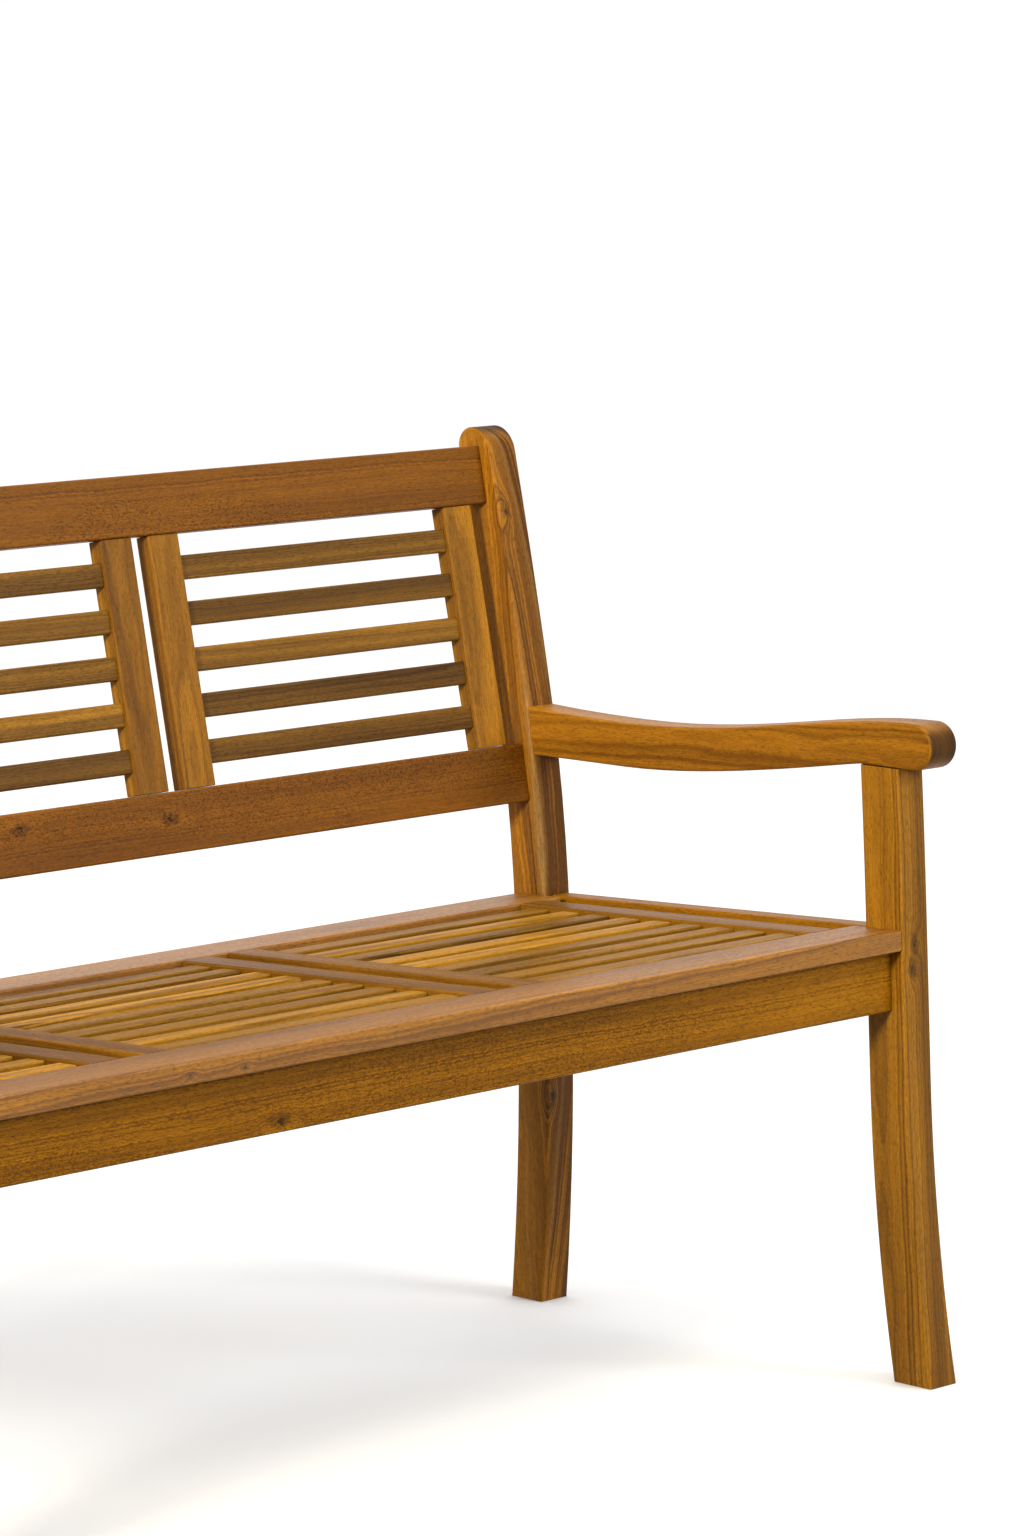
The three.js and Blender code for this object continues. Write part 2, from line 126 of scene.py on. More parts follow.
class Tree:
    """Adds nodes to a node tree: node() gives the new node, and the others its output socket."""

    def __init__(self, tree):
        self.tree = tree

    def node(self, kind, inputs=(), **settings):
        made = self.tree.nodes.new(kind)
        for name, value in settings.items():
            setattr(made, name, value)
        for key, value in dict(inputs).items():
            self.feed(made.inputs[key], value)
        return made

    def feed(self, socket, value):
        if isinstance(value, bpy.types.NodeSocket):
            self.tree.links.new(value, socket)
        else:
            socket.default_value = value

    def math(self, operation, a, b=0.0, c=0.0, clamp=False):
        made = self.node("ShaderNodeMath", {0: a, 1: b, 2: c}, operation=operation, use_clamp=clamp)
        return made.outputs[0]

    def vector(self, operation, a, b=(0, 0, 0)):
        made = self.node("ShaderNodeVectorMath", {0: a, 1: b}, operation=operation)
        return made.outputs["Value" if operation in ("LENGTH", "DOT_PRODUCT") else "Vector"]

    def noise(self, spot, scale, detail=2.0):
        """3-D noise around 0; scale is features per metre along, across and through the timber."""
        spread = self.vector("MULTIPLY", spot, scale)
        made = self.node("ShaderNodeTexNoise", {"Vector": spread, "Scale": 1.0, "Detail": detail,
                                                "Roughness": 0.5})
        return self.math("SUBTRACT", made.outputs["Fac"], 0.5)

    def stripes(self, distance, per_metre, detail=2.0):
        """1-D noise around 0, for rings."""
        made = self.node("ShaderNodeTexNoise", {"W": self.math("MULTIPLY", distance, per_metre),
                                                "Scale": 1.0, "Detail": detail, "Roughness": 0.6},
                         noise_dimensions="1D")
        return self.math("SUBTRACT", made.outputs["Fac"], 0.5)

    def step(self, value, low, high):
        """0 at low, 1 at high, smooth between and level beyond them; low may be above high."""
        made = self.node("ShaderNodeMapRange", {"Value": value, "From Min": low, "From Max": high},
                         interpolation_type="SMOOTHSTEP")
        return made.outputs["Result"]

    def blend(self, share, a, b):
        """Colour a where share is 0, b where it is 1. A colour mix has sockets 6, 7 and 2."""
        made = self.node("ShaderNodeMix", {"Factor": share, 6: a, 7: b}, data_type="RGBA")
        return made.outputs[2]


SAPWOOD = (0.60, 0.36, 0.12, 1.0)


def socket(group, name, kind, direction="INPUT"):
    return group.interface.new_socket(name=name, in_out=direction, socket_type=kind)


def acacia_group():
    """Colour, roughness and height of oiled acacia, worked out in the timber's own axes."""
    group = bpy.data.node_groups.new("oiled_acacia", "ShaderNodeTree")
    for name, kind in (
        ("Seed", "NodeSocketVector"), ("Pith", "NodeSocketVector"), ("Slope", "NodeSocketFloat"),
        ("Light", "NodeSocketColor"), ("Dark", "NodeSocketColor"), ("Streak", "NodeSocketColor"),
        ("Bands", "NodeSocketFloat"), ("Streaks", "NodeSocketFloat"), ("Pores", "NodeSocketFloat"),
        ("Figure", "NodeSocketFloat"), ("Sapwood", "NodeSocketFloat"), ("Drift", "NodeSocketVector"),
        ("Knot", "NodeSocketVector"), ("Second Knot", "NodeSocketVector"),
        ("Knot Size", "NodeSocketFloat"), ("Turn", "NodeSocketVector"),
    ):
        socket(group, name, kind)
    socket(group, "Color", "NodeSocketColor", "OUTPUT")
    socket(group, "Roughness", "NodeSocketFloat", "OUTPUT")
    socket(group, "Height", "NodeSocketFloat", "OUTPUT")

    t = Tree(group)
    given = t.node("NodeGroupInput").outputs
    coordinate = t.node("ShaderNodeTexCoord").outputs
    here, normal = [t.node("ShaderNodeVectorRotate",
                           {"Vector": coordinate[kind], "Rotation": given["Turn"]},
                           rotation_type="EULER_XYZ", invert=True).outputs[0]
                    for kind in ("Object", "Normal")]
    spot = t.vector("ADD", here, given["Seed"])

    # The grain swells round a knot, which is longer along the grain than across it
    away = [t.vector("LENGTH", t.vector("MULTIPLY", t.vector("SUBTRACT", here, given[knot]),
                                        (0.55, 1.0, 1.0))) for knot in ("Knot", "Second Knot")]
    knot = t.math("DIVIDE", t.math("MINIMUM", away[0], away[1]), given["Knot Size"])
    near_knot = t.math("POWER", math.e, t.math("MULTIPLY", knot, t.math("MULTIPLY", knot, -0.30)))
    swell = t.math("MULTIPLY", t.math("MULTIPLY", near_knot, given["Knot Size"]), 1.8)

    # Distance from the pith, which runs nearly parallel to the timber, bent by slow waves
    from_pith = t.node("ShaderNodeSeparateXYZ", {0: t.vector("SUBTRACT", here, given["Pith"])}).outputs
    across = t.math("MULTIPLY_ADD", from_pith[0], given["Slope"], from_pith[1])
    ring = t.math("SQRT", t.math("ADD", t.math("MULTIPLY", across, across),
                                 t.math("MULTIPLY", from_pith[2], from_pith[2])))
    waves = t.noise(spot, (2.4, 13.0, 13.0))
    ripples = t.noise(spot, (14.0, 75.0, 75.0))
    quiver = t.noise(spot, (240.0, 480.0, 480.0), detail=1.0)
    ring = t.math("MULTIPLY_ADD", waves, 0.018, ring)
    ring = t.math("MULTIPLY_ADD", ripples, 0.0034, ring)
    ring = t.math("MULTIPLY_ADD", t.math("MULTIPLY", quiver, given["Figure"]), 0.0042, ring)
    ring = t.math("ADD", ring, swell)

    # Broad and fine growth bands, patches of lighter and darker heartwood, and a painted gradient of
    # shade
    broad = t.stripes(ring, 85.0, detail=3.0)
    fine = t.stripes(t.math("ADD", ring, 3.7), 520.0)
    curl = t.math("MULTIPLY_ADD", given["Figure"], 0.9, 0.5)
    bands = t.math("MULTIPLY_ADD", fine, curl, broad)
    patches = t.noise(spot, (2.2, 16.0, 16.0))
    tone = t.math("MULTIPLY_ADD", bands, given["Bands"], 0.5)
    # Drift paints light and shade into the tone: a straight gradient along the timber's own axes,
    # darker low under the seat and in the gaps between seat slats, lighter on faces the key lamp lights
    tone = t.math("ADD", tone, t.vector("DOT_PRODUCT", here, given["Drift"]))
    tone = t.math("MULTIPLY_ADD", patches, 1.3, tone, clamp=True)
    color = t.blend(tone, given["Dark"], given["Light"])

    # Dark mineral streaks, and a pale stripe of sapwood, follow the rings too
    streak = t.step(t.stripes(t.math("ADD", ring, 9.1), 60.0, detail=2.0), 0.03, 0.16)
    streak = t.math("MULTIPLY", streak, t.step(patches, -0.20, 0.10))
    color = t.blend(t.math("MULTIPLY", streak, given["Streaks"]), color, given["Streak"])
    pale = t.step(t.stripes(t.math("ADD", ring, 5.3), 38.0, detail=1.0), 0.02, 0.16)
    color = t.blend(t.math("MULTIPLY", pale, given["Sapwood"]), color, SAPWOOD)

    # Open pores are short dark dashes along the grain, more of them in the dark bands; figured
    # wood has a dark mottle across the grain as well
    wander = t.node("ShaderNodeCombineXYZ", {1: t.math("MULTIPLY", ripples, 0.006),
                                             2: t.math("MULTIPLY", quiver, 0.0016)}).outputs[0]
    pore_spot = t.vector("ADD", spot, wander)
    dashes = t.noise(pore_spot, (150.0, 1100.0, 1100.0), detail=1.0)
    crowd = t.math("MULTIPLY_ADD", bands, -0.14, 0.04)
    pores = t.step(dashes, crowd, t.math("ADD", crowd, 0.09))
    mottle = t.noise(pore_spot, (330.0, 640.0, 640.0), detail=1.0)
    mottle = t.math("MULTIPLY", t.step(mottle, 0.0, 0.12), given["Figure"])
    dark = t.math("MAXIMUM", t.math("MULTIPLY", pores, given["Pores"]),
                  t.math("MULTIPLY", mottle, t.step(waves, -0.10, 0.06)))
    fibre = t.noise(spot, (40.0, 1400.0, 1400.0), detail=2.0)
    shade = t.math("MULTIPLY_ADD", dark, -0.44, 1.0)
    shade = t.math("MULTIPLY", shade, t.math("MULTIPLY_ADD", fibre, 0.7, 1.0))

    # A pale halo round the knot, its dark body and darker rim, and a black crack at its heart
    rough_knot = t.math("MULTIPLY_ADD", quiver, 1.3, t.math("MULTIPLY_ADD", ripples, 1.6, knot))
    rim = t.math("MULTIPLY", t.step(rough_knot, 0.45, 0.85), t.step(rough_knot, 1.30, 0.90))
    heart = t.step(t.math("MULTIPLY_ADD", quiver, 1.6, knot), 0.50, 0.20)
    for part, strength in ((near_knot, 0.15), (t.step(rough_knot, 1.10, 0.60), -0.35), (rim, -0.25),
                           (heart, -0.75)):
        shade = t.math("MULTIPLY", shade, t.math("MULTIPLY_ADD", part, strength, 1.0))

    # Sawn ends drink more oil and turn dark; rounded edges turn a little paler, partly wear from
    # sanding and partly a painted highlight along the arrises
    facing = t.node("ShaderNodeSeparateXYZ", {0: normal}).outputs[0]
    end = t.step(t.math("ABSOLUTE", facing), 0.55, 0.95)
    shade = t.math("MULTIPLY", shade, t.math("MULTIPLY_ADD", end, -0.74, 1.0))
    edge = t.node("ShaderNodeAttribute", attribute_name="arris").outputs["Fac"]
    wear_and_highlight = t.math("MULTIPLY", edge, t.step(t.noise(spot, (14.0, 30.0, 30.0)), -0.12, 0.14))
    shade = t.math("MULTIPLY_ADD", wear_and_highlight, 0.14, shade)
    shaded = t.node("ShaderNodeVectorMath", {0: color, "Scale": shade}, operation="SCALE")

    rough = t.math("MULTIPLY_ADD", fibre, 0.30, 0.43)
    rough = t.math("MULTIPLY_ADD", dark, 0.16, rough)
    rough = t.math("MULTIPLY_ADD", end, 0.15, rough)
    rough = t.math("MULTIPLY_ADD", wear_and_highlight, -0.06, rough, clamp=True)
    height = t.math("MULTIPLY_ADD", bands, 0.30, t.math("MULTIPLY", fibre, 0.55))
    height = t.math("MULTIPLY_ADD", dark, -0.75, height)
    t.node("NodeGroupOutput", {"Color": shaded.outputs["Vector"], "Roughness": rough,
                               "Height": height})
    return group


ACACIA = acacia_group()

# Mean colours of the timbers, sRGB from 0 to 255
HONEY = (160, 104, 20)             # stiles
TAWNY = (151, 98, 19)              # legs
RUDDY = (163, 102, 19)             # posts
AMBER = (159, 101, 18)             # arms
RUSSET = (127, 75, 9)              # back rails
COPPER = (158, 100, 15)            # seat boards
OLIVE = (153, 96, 7)               # aprons and side rails
STRAW = (176, 120, 29)             # lightest and darkest of the slats
UMBER = (102, 67, 17)
STREAK = (52, 30, 14)
NOWHERE = (9.0, 9.0, 9.0)          # place of a knot that the timber doesn't have


def linear(color, gain=1.0):
    """An sRGB colour from 0 to 255 as a linear one, times a gain."""
    parts = [c / 255 for c in color]
    return [gain * (c / 12.92 if c < 0.04045 else ((c + 0.055) / 1.055) ** 2.4) for c in parts] + [1.0]


def between(a, b, share):
    """A colour part of the way from a to b."""
    return tuple(x + (y - x) * share for x, y in zip(a, b))


def level(piece):
    """Moves a piece's turn into its mesh, so that its box is no larger than it is; gives the turn."""
    spot, turn, _ = piece.matrix_world.decompose()
    piece.data.transform(turn.to_matrix().to_4x4())
    piece.matrix_world = Matrix.Translation(spot)
    return turn.to_euler()


def knots(radius, *spots):
    """Inputs of the wood for one or two knots, in millimetres along the timber's own axes."""
    places = [tuple(x * MM for x in spot) for spot in spots]
    return {"Knot": places[0], "Second Knot": places[-1], "Knot Size": radius * MM}


def oiled(piece, draw, color=HONEY, contrast=1.0, sheen=0.12, **looks):
    """Gives a timber its own oiled acacia; sheen is its shine, and looks sets inputs of the wood."""
    turn = level(piece)
    material = bpy.data.materials.new("oiled_" + piece.name)
    material.use_nodes = True
    t = Tree(material.node_tree)
    light = linear(color, 1 + 0.42 * contrast)
    light[1] *= 1.06
    light[2] *= 1.15
    dark = linear(color, 1 - 0.55 * contrast)
    dark[1] *= 0.95
    values = {
        "Seed": [draw.uniform(-40, 40) for _ in range(3)],
        "Pith": (0.0, draw.uniform(-0.06, 0.06), draw.choice((-1, 1)) * draw.uniform(0.03, 0.09)),
        "Slope": draw.uniform(-0.02, 0.02),
        "Light": light,
        "Dark": dark,
        "Streak": linear(STREAK),
        "Bands": draw.uniform(1.5, 2.2),
        "Streaks": draw.uniform(0.15, 0.5),
        "Pores": draw.uniform(0.5, 0.8),
        "Figure": draw.uniform(0.0, 0.3),
        "Drift": (0.0, 0.0, 0.0),
        "Sapwood": 0.0,
        "Knot": NOWHERE,
        "Second Knot": NOWHERE,
        "Knot Size": 10 * MM,
        "Turn": turn,
    }
    values.update(looks)
    wood = t.node("ShaderNodeGroup", node_tree=ACACIA)
    for name, value in values.items():
        wood.inputs[name].default_value = value
    bump = t.node("ShaderNodeBump", {"Height": wood.outputs["Height"], "Strength": 0.35,
                                     "Distance": 0.5 * MM})
    surface = material.node_tree.nodes["Principled BSDF"]
    t.feed(surface.inputs["Base Color"], wood.outputs["Color"])
    t.feed(surface.inputs["Roughness"], wood.outputs["Roughness"])
    t.feed(surface.inputs["Normal"], bump.outputs["Normal"])
    surface.inputs["Specular IOR Level"].default_value = sheen
    piece.data.materials.clear()
    piece.data.materials.append(material)


# ---- Timber meshes ------------------------------------------------------------------------------


def section(half_width, half_thick, radius):
    """Points round a rectangle with rounded corners, in Y and Z."""
    points = []
    for i, (sy, sz) in enumerate(((1, 1), (-1, 1), (-1, -1), (1, -1))):
        for k in range(ROUND_STEPS + 1):
            angle = math.pi / 2 * (i + k / ROUND_STEPS)
            points.append((sy * (half_width - radius) + radius * math.cos(angle),
                           sz * (half_thick - radius) + radius * math.sin(angle)))
    return points


def batten_mesh(name, size, radius, draw):
    """A straight batten along X with rounded long edges and lightly broken sawn ends."""
    length, width, thick = size
    phases = [draw.uniform(0, 2 * math.pi) for _ in range(2)]
    ends = [(END_ARRIS * (1 - math.cos(a)), END_ARRIS * (1 - math.sin(a)))
            for a in (0, math.pi / 6, math.pi / 3, math.pi / 2)]
    spans = max(2, round(length / BATTEN_SPAN))
    inner = [(-length / 2 + END_ARRIS + (length - 2 * END_ARRIS) * i / spans, 0.0)
             for i in range(1, spans)]
    stations = [(x - length / 2, inset) for x, inset in ends] + inner
    stations += [(length / 2 - x, inset) for x, inset in reversed(ends)]
    made = bmesh.new()
    rings = []
    for x, inset in stations:
        wander = 0.6 * math.sin(9 * x + phases[0]) + 0.4 * math.sin(31 * x + phases[1])
        rounding = radius * (1 + ROUND_WANDER * wander) - inset
        points = section(width / 2 - inset, thick / 2 - inset, rounding)
        rings.append([made.verts.new((x, y, z)) for y, z in points])
    count = len(rings[0])
    arris = made.faces.layers.float.new("arris")
    for before, after in zip(rings, rings[1:]):
        for i in range(count):
            j = (i + 1) % count
            face = made.faces.new((before[i], before[j], after[j], after[i]))
            face[arris] = 0.0 if i % (ROUND_STEPS + 1) == ROUND_STEPS else 1.0
    made.faces.new(list(reversed(rings[0])))
    made.faces.new(rings[-1])
    return finished(made, name)


def finished(made, name):
    """Turns a bmesh into a smooth-shaded mesh with its faces pointing out."""
    bmesh.ops.recalc_face_normals(made, faces=made.faces)
    mesh = bpy.data.meshes.new(name)
    made.to_mesh(mesh)
    made.free()
    mesh.shade_smooth()
    return mesh


def place(name, mesh, axes, centre):
    """The object of a piece, with its own axes and its centre in the row frame."""
    piece = bpy.data.objects.new(name, mesh)
    piece.matrix_world = Matrix.Translation(centre) @ axes.to_4x4()
    bpy.context.scene.collection.objects.link(piece)
    return piece


def settle(piece, node):
    """Flat faces shade flat beside their rounded edges; the piece rides on the bench for its node."""
    piece.data.set_sharp_from_angle(angle=math.radians(CREASE))
    normals = piece.modifiers.new("flat faces", "WEIGHTED_NORMAL")
    normals.weight = 100
    normals.keep_sharp = True
    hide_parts(node)
    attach(piece, "root")


def span(node, group):
    """Lowest and highest corner of a CAD node in its group's own axes."""
    turned = [group.transposed() @ v.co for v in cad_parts[node].data.vertices]
    return (Vector(min(v[i] for v in turned) for i in range(3)),
            Vector(max(v[i] for v in turned) for i in range(3)))


def batten(name, node, group, grain, low, high, radius, slot, **looks):
    """A straight timber that fills a box in its group's axes."""
    draw = random.Random(name)
    axes = GRAIN[grain]
    size = [abs(x) for x in axes.transposed() @ (high - low)]
    mesh = batten_mesh(name, size, radius, draw)
    piece = place(name, mesh, group @ axes, group @ ((low + high) / 2))
    if node in NUTS_IN:
        cut(piece, nut_holes(NUTS_IN[node], group))
    oiled(piece, draw, **looks)
    settle(piece, node)


def side_profile(node, radius):
    """Corners of a sawn timber's side profile (Y, Z) in order, from the widest part of its CAD node."""
    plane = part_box(node)[0].x + radius
    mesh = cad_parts[node].data
    joined = {}
    for edge in mesh.edges:
        a, b = (mesh.vertices[i].co for i in edge.vertices)
        if max(abs(a.x - plane), abs(b.x - plane)) < 0.02 * MM:
            a, b = ((round(p.y, 6), round(p.z, 6)) for p in (a, b))
            if a != b:
                joined.setdefault(a, set()).add(b)
                joined.setdefault(b, set()).add(a)
    start = min(joined)
    walk = [start, min(joined[start])]
    while True:
        onward = [p for p in joined[walk[-1]] if p != walk[-2]]
        if onward[0] == start:
            return walk
        walk.append(onward[0])


def sawn_mesh(name, profile, half, radius):
    """A plank of a given half thickness sawn to a profile, with weights for rounding its edges."""
    count = len(profile)
    steps = [(profile[(i + 1) % count] - profile[i]).normalized() for i in range(count)]
    corner = [steps[i - 1].dot(steps[i]) < math.cos(math.radians(CORNER)) for i in range(count)]
    made = bmesh.new()
    weight = made.edges.layers.float.new("bevel_weight_edge")
    rings = [[made.verts.new((p.x, p.y, z)) for p in profile] for z in (-half, half)]
    made.faces.new(rings[0])
    made.faces.new(list(reversed(rings[1])))
    for i in range(count):
        j = (i + 1) % count
        made.faces.new((rings[0][i], rings[0][j], rings[1][j], rings[1][i]))
    for i in range(count):
        j = (i + 1) % count
        across_grain = abs(steps[i].x) < 0.6
        sawn_end = corner[i] and corner[j] and across_grain
        for ring in rings:
            made.edges.get((ring[i], ring[j]))[weight] = END_ARRIS / radius if sawn_end else 1.0
        if corner[i]:
            made.edges.get((rings[0][i], rings[1][i]))[weight] = END_ARRIS / radius
    return finished(made, name)


def sawn_timber(name, node, lean, radius, slot, **looks):
    """A timber sawn to the side profile of its CAD node; lean is in degrees from -Y."""
    draw = random.Random(name)
    low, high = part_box(node)
    centre = (low + high) / 2
    along = Vector((0, -math.cos(math.radians(lean)), math.sin(math.radians(lean))))
    through = Vector((1, 0, 0))
    axes = Matrix((along, through.cross(along), through)).transposed()
    inward = axes.transposed()
    profile = [inward @ (Vector((centre.x, y, z)) - centre) for y, z in side_profile(node, radius)]
    piece = place(name, sawn_mesh(name, profile, (high.x - low.x) / 2, radius), axes, centre)
    bevel = piece.modifiers.new("rounded edges", "BEVEL")
    bevel.limit_method = "WEIGHT"
    bevel.width = radius
    bevel.segments = ROUND_STEPS
    apply_modifiers(piece)
    mark_arrises(piece.data)
    if node in HEADS_IN:
        cut(piece, head_recesses(*HEADS_IN[node]))
    oiled(piece, draw, **looks)
    settle(piece, node)


def apply_modifiers(piece):
    """Turns what a piece's modifiers make into its mesh."""
    bpy.context.view_layer.update()
    shaped = piece.evaluated_get(bpy.context.evaluated_depsgraph_get())
    mesh = bpy.data.meshes.new_from_object(shaped)
    piece.modifiers.clear()
    piece.data = mesh


def add_rod(made, start, end, radius, sides=32):
    """Adds a closed cylinder between two points to a bmesh."""
    run = end - start
    turn = run.to_track_quat("Z", "Y").to_matrix().to_4x4()
    bmesh.ops.create_cone(made, cap_ends=True, segments=sides, radius1=radius, radius2=radius,
                          depth=run.length, matrix=Matrix.Translation((start + end) / 2) @ turn)


def cut(piece, made):
    """Cuts the solids of a bmesh, in the row frame, out of a piece."""
    tool = bpy.data.objects.new("tool", finished(made, "tool"))
    bpy.context.scene.collection.objects.link(tool)
    boolean = piece.modifiers.new("cut", "BOOLEAN")
    boolean.operation = "DIFFERENCE"
    boolean.solver = "EXACT"
    boolean.object = tool
    apply_modifiers(piece)
    bpy.data.meshes.remove(tool.data)


def mark_arrises(mesh):
    """Marks the faces of rounded edges, which are neither a side nor part of the profile."""
    arris = mesh.attributes.new("arris", "FLOAT", "FACE")
    arris.data.foreach_set("value", [float(0.1 < abs(f.normal.z) < 0.98) for f in mesh.polygons])


# ---- Bolts --------------------------------------------------------------------------------------

JOINTS = ("front_apron", "rear_apron", "lower_rail", "top_rail")
HEADS_IN = {}                      # side frame timber: its side, and the joints that it takes
for side, way in (("left", -1), ("right", 1)):
    HEADS_IN[f"front_leg_{side}"] = (side, way, JOINTS[:1])
    HEADS_IN[f"rear_post_{side}"] = (side, way, JOINTS[1:])
NUTS_IN = {
    "front_apron": "front_apron", "rear_apron": "rear_apron",
    "back_lower_rail": "lower_rail", "back_top_rail": "top_rail",
}


def bolt_line(joint, side, way):
    """Centre of a bolt's head on its outer face, and the bolt's tip."""
    low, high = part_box(f"bolt_{joint}_{side}")
    ends = (low.x, high.x) if way < 0 else (high.x, low.x)
    return [Vector((x, (low.y + high.y) / 2, (low.z + high.z) / 2)) for x in ends]


def head_recesses(side, way, joints):
    """Round recesses for the bolt heads, 0.3 mm deeper than the heads."""
    made = bmesh.new()
    for joint in joints:
        head = bolt_line(joint, side, way)[0]
        floor = head - Vector((way * (HEAD_HEIGHT + 0.3 * MM), 0, 0))
        add_rod(made, floor, head + Vector((way * 20 * MM, 0, 0)), HEAD_RECESS)
    return made


def nut_line(joint, side, way, group):
    """Middle of a barrel nut, and half its length along the thickness of the timber around it."""
    tip = bolt_line(joint, side, way)[1]
    return tip + Vector((way * NUT_FROM_TIP, 0, 0)), group @ Vector((0, NUT_LENGTH / 2, 0))


def nut_holes(joint, group):
    """Blind holes across a timber for its two barrel nuts, open on one face."""
    made = bmesh.new()
    for side, way in (("left", -1), ("right", 1)):
        middle, half = nut_line(joint, side, way, group)
        add_rod(made, middle - half * 1.04, middle + half * 2, NUT_HOLE)
    return made


def turned_mesh(name, profile, sides=32):
    """A solid turned about X from a profile of (x, radius), closed by a disc at both ends."""
    made = bmesh.new()
    rings = []
    for x, radius in profile:
        turns = [2 * math.pi * i / sides for i in range(sides)]
        rings.append([made.verts.new((x, radius * math.cos(a), radius * math.sin(a))) for a in turns])
    for before, after in zip(rings, rings[1:]):
        for i in range(sides):
            j = (i + 1) % sides
            made.faces.new((before[i], before[j], after[j], after[i]))
    made.faces.new(rings[0])
    made.faces.new(list(reversed(rings[-1])))
    return finished(made, name)


def rounded_end(x, radius, edge, way):
    """Profile of a turned edge that rounds off to a flat end at x."""
    return [(x - way * edge * (1 - math.sin(a)), radius - edge * (1 - math.cos(a)))
            for a in (0, math.pi / 6, math.pi / 3, math.pi / 2)]


def zinc_steel():
    """Cloudy, finely scratched zinc plating."""
    material = bpy.data.materials.new("zinc_steel")
    material.use_nodes = True
    t = Tree(material.node_tree)
    here = t.node("ShaderNodeTexCoord").outputs["Object"]
    cloud = t.noise(here, (140.0, 140.0, 140.0), detail=3.0)
    scratch = t.noise(here, (2600.0, 500.0, 500.0))
    surface = material.node_tree.nodes["Principled BSDF"]
    share = t.math("MULTIPLY_ADD", cloud, 1.4, 0.5, clamp=True)
    t.feed(surface.inputs["Base Color"],
           t.blend(share, (0.42, 0.42, 0.43, 1.0), (0.66, 0.66, 0.65, 1.0)))
    t.feed(surface.inputs["Roughness"], t.math("MULTIPLY_ADD", scratch, 0.5, 0.34))
    bump = t.node("ShaderNodeBump", {"Height": scratch, "Strength": 0.15, "Distance": 0.1 * MM})
    t.feed(surface.inputs["Normal"], bump.outputs["Normal"])
    surface.inputs["Metallic"].default_value = 1.0
    return material


def fit_steel(piece, node, steel):
    piece.data.materials.clear()
    piece.data.materials.append(steel)
    settle(piece, node)


def build_bolt(joint, side, way, group, steel):
    """A socket-head bolt, and the slotted barrel nut on its tip."""
    node = f"bolt_{joint}_{side}"
    head, tip = bolt_line(joint, side, way)
    length = abs(head.x - tip.x)
    profile = rounded_end(0, SHANK_RADIUS, HEAD_EDGE, -1)[::-1]
    profile += [(length - HEAD_HEIGHT, SHANK_RADIUS), (length - HEAD_HEIGHT, HEAD_RADIUS)]
    profile += rounded_end(length, HEAD_RADIUS, HEAD_EDGE, 1)
    outward = Matrix(((way, 0, 0), (0, way, 0), (0, 0, 1)))
    bolt = place(f"{node}_screw", turned_mesh(node, profile), outward, tip)
    made = bmesh.new()
    into = Vector((way * SOCKET_DEPTH, 0, 0))
    add_rod(made, head - into, head + into, SOCKET_RADIUS, sides=6)
    cut(bolt, made)
    fit_steel(bolt, node, steel)

    middle, half = nut_line(joint, side, way, group)
    profile = rounded_end(-NUT_LENGTH / 2, NUT_RADIUS, NUT_EDGE, -1)[::-1]
    profile += rounded_end(NUT_LENGTH / 2, NUT_RADIUS, NUT_EDGE, 1)
    nut = place(f"{node}_barrel_nut", turned_mesh(node, profile), group @ GRAIN["Y"], middle)
    made = bmesh.new()
    slot = Matrix.Diagonal((4 * NUT_RADIUS, 2 * SLOT_DEPTH, SLOT_WIDTH, 1))
    where = Matrix.Translation(middle + half) @ group.to_4x4()
    bmesh.ops.create_cube(made, size=1, matrix=where @ slot)
    cut(nut, made)
    fit_steel(nut, node, steel)


def build_bolts():
    steel = zinc_steel()
    for side, way in (("left", -1), ("right", 1)):
        for joint in JOINTS:
            build_bolt(joint, side, way, SEAT if "apron" in joint else BACK, steel)


# ---- The bench ----------------------------------------------------------------------------------


def build_side_frames():
    for side, way in (("left", -1), ("right", 1)):
        # Drift paints shade and light on the frames: darker towards the floor and on the posts' front
        # faces, lighter on the inner faces; on the arms, darker towards the front end
        sawn_timber(f"acacia_rear_post_{side}", f"rear_post_{side}", 90 + POST_LEAN,
                    FRAME_ROUND, "acacia_frame", color=RUDDY, contrast=1.3, Bands=1.6,
                    Streaks=0.5, Sapwood=0.35, Seed=(37.4, 8.2, 28.6 * way),
                    Pith=(0.0, -0.030, 0.079 * way), Drift=(0.50, -7.6, -12.0 * way),
                    **knots(6, (367, 39, -10 * way), (-241, 36, -14 * way)))
        sawn_timber(f"acacia_front_leg_{side}", f"front_leg_{side}", 90 + LEG_LEAN,
                    FRAME_ROUND, "acacia_frame", color=TAWNY, Figure=0.3,
                    Drift=(0.6, 0.0, -10.0 * way),
                    **knots(5, (130, 18, -1 * way), (106, 17, -6 * way)))
        sawn_timber(f"acacia_armrest_{side}", f"armrest_{side}", ARM_LEAN,
                    FRAME_ROUND, "acacia_frame", color=AMBER, contrast=0.8, Drift=(-0.9, 0.0, 0.0))
        sawn_timber(f"acacia_side_rail_{side}", f"side_rail_{side}", SEAT_TILT,
                    BOARD_ROUND, "acacia_frame", color=OLIVE)


